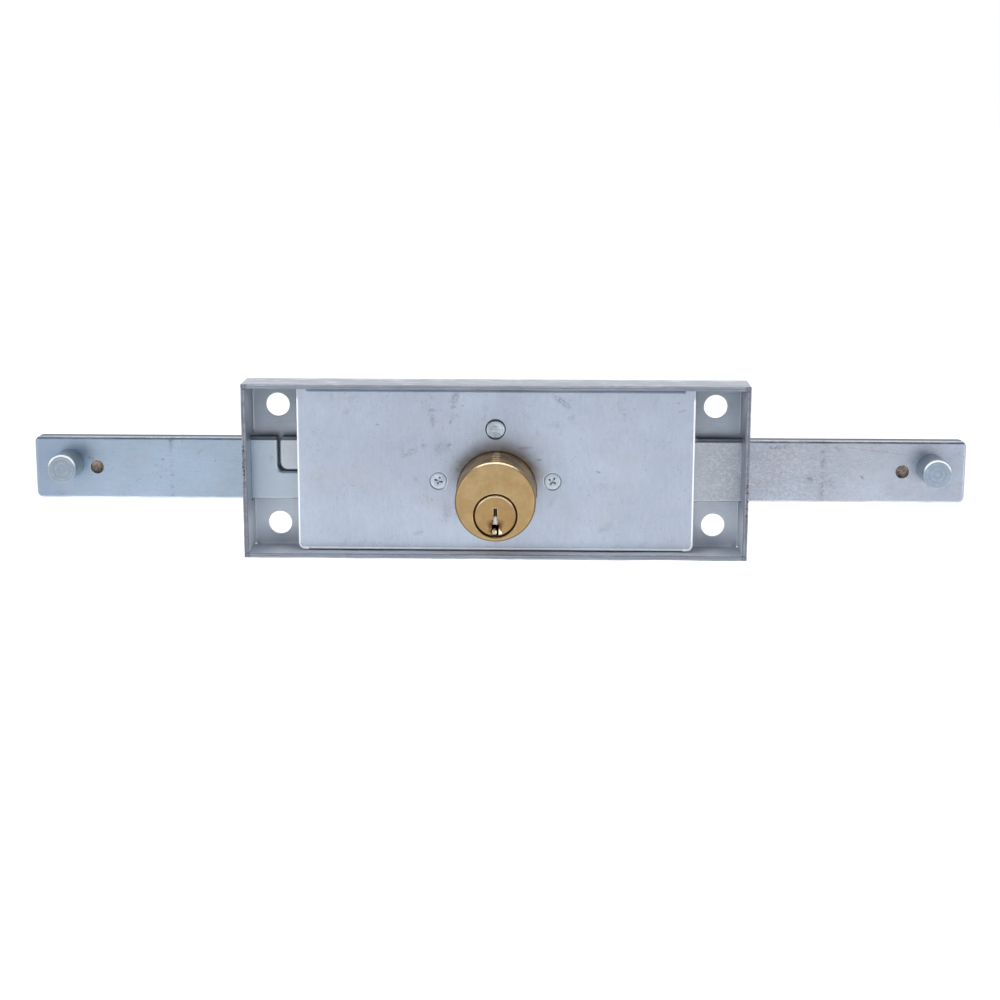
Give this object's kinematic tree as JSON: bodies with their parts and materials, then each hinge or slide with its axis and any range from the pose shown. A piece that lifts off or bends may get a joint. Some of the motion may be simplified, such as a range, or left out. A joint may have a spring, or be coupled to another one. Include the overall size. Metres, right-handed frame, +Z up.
{
  "type": "roller shutter centre deadlock",
  "caption": "Flat sheet metal shutter lock: a round pin tumbler cylinder slides two flat bars outwards through the sides of a shallow folded case.",
  "frame": {"origin": "centre of the case's rear outer face", "axes": "+X along the bars to the right as seen from the cylinder's face, +Y to the rear, +Z up"},
  "size_m": [0.2978, 0.03, 0.056],
  "materials": {
    "case_zinc": "dull zinc-plated folded sheet steel, with dark marks and rust on the cut rims",
    "cover_zinc": "bright bluish zinc-plated sheet steel with fine scratches and small rust specks",
    "bar_zinc": "bluish zinc-plated flat bar, faintly iridescent, with dark vertical marks",
    "steel": "bright plated steel",
    "brass": "satin machined brass",
    "bronze": "dull sintered bronze",
    "nickel_silver": "bright nickel silver",
    "spring_steel": "dark blued spring steel"
  },
  "bodies": {
    "case": {"case_tray": "case_zinc", "cover_plate": "cover_zinc", "center_pillar": "steel", "cylinder_body": "brass", "tail_bush": "bronze", "retaining_fork": "steel", "fork_screw_left": "steel", "fork_screw_right": "steel", "guide_stud_left": "steel", "guide_stud_right": "steel", "spring_anchor_post": "steel", "spring_stop_post": "steel", "detent_spring": "spring_steel", "chamber_cap_1": "brass", "chamber_cap_2": "brass", "chamber_cap_3": "brass", "chamber_cap_4": "brass", "chamber_cap_5": "brass", "pin_spring_1": "spring_steel", "pin_spring_2": "spring_steel", "pin_spring_3": "spring_steel", "pin_spring_4": "spring_steel", "pin_spring_5": "spring_steel"},
    "right_bar": {"right_bar": "bar_zinc", "right_peg": "bar_zinc"},
    "left_bar": {"left_bar": "bar_zinc", "left_peg": "bar_zinc"},
    "plug": {"plug": "brass", "plug_clip": "spring_steel", "drive_pinion": "steel"},
    "key_pin_1": {"key_pin_1": "nickel_silver"},
    "driver_pin_1": {"driver_pin_1": "brass"},
    "key_pin_2": {"key_pin_2": "nickel_silver"},
    "driver_pin_2": {"driver_pin_2": "brass"},
    "key_pin_3": {"key_pin_3": "nickel_silver"},
    "driver_pin_3": {"driver_pin_3": "brass"},
    "key_pin_4": {"key_pin_4": "nickel_silver"},
    "driver_pin_4": {"driver_pin_4": "brass"},
    "key_pin_5": {"key_pin_5": "nickel_silver"},
    "driver_pin_5": {"driver_pin_5": "brass"}
  },
  "joints": [
    {"name": "right_bar_slide", "type": "slide", "parent": "case", "child": "right_bar", "axis": [1, 0, 0], "range_m": [0, 0.01413], "deforming": ["detent_spring"]},
    {"name": "left_bar_slide", "type": "slide", "parent": "case", "child": "left_bar", "axis": [-1, 0, 0], "range_m": [0, 0.01414]},
    {"name": "plug_turn", "type": "hinge", "parent": "case", "child": "plug", "pos_m": [0.0004, -0.018, -0.01073], "axis": [0, 1, 0], "range_deg": [0, 180]},
    {"name": "key_pin_1_lift", "type": "slide", "parent": "plug", "child": "key_pin_1", "axis": [0, 0, 1], "range_m": [-0.0008, 0]},
    {"name": "driver_pin_1_lift", "type": "slide", "parent": "case", "child": "driver_pin_1", "axis": [0, 0, 1], "range_m": [-0.0008, 0], "deforming": ["pin_spring_1"]},
    {"name": "key_pin_2_lift", "type": "slide", "parent": "plug", "child": "key_pin_2", "axis": [0, 0, 1], "range_m": [-0.002, 0]},
    {"name": "driver_pin_2_lift", "type": "slide", "parent": "case", "child": "driver_pin_2", "axis": [0, 0, 1], "range_m": [-0.002, 0], "deforming": ["pin_spring_2"]},
    {"name": "key_pin_3_lift", "type": "slide", "parent": "plug", "child": "key_pin_3", "axis": [0, 0, 1], "range_m": [-0.0014, 0]},
    {"name": "driver_pin_3_lift", "type": "slide", "parent": "case", "child": "driver_pin_3", "axis": [0, 0, 1], "range_m": [-0.0014, 0], "deforming": ["pin_spring_3"]},
    {"name": "key_pin_4_lift", "type": "slide", "parent": "plug", "child": "key_pin_4", "axis": [0, 0, 1], "range_m": [-0.0024, 0]},
    {"name": "driver_pin_4_lift", "type": "slide", "parent": "case", "child": "driver_pin_4", "axis": [0, 0, 1], "range_m": [-0.0024, 0], "deforming": ["pin_spring_4"]},
    {"name": "key_pin_5_lift", "type": "slide", "parent": "plug", "child": "key_pin_5", "axis": [0, 0, 1], "range_m": [-0.0017, 0]},
    {"name": "driver_pin_5_lift", "type": "slide", "parent": "case", "child": "driver_pin_5", "axis": [0, 0, 1], "range_m": [-0.0017, 0], "deforming": ["pin_spring_5"]}
  ],
  "couplings": [
    {"joint": "left_bar_slide", "follows": "right_bar_slide", "ratio": 1},
    {"joint": "plug_turn", "follows": "right_bar_slide", "rad_per_m": 222.22},
    {"joint": "driver_pin_1_lift", "follows": "key_pin_1_lift", "ratio": 1},
    {"joint": "driver_pin_2_lift", "follows": "key_pin_2_lift", "ratio": 1},
    {"joint": "driver_pin_3_lift", "follows": "key_pin_3_lift", "ratio": 1},
    {"joint": "driver_pin_4_lift", "follows": "key_pin_4_lift", "ratio": 1},
    {"joint": "driver_pin_5_lift", "follows": "key_pin_5_lift", "ratio": 1}
  ]
}
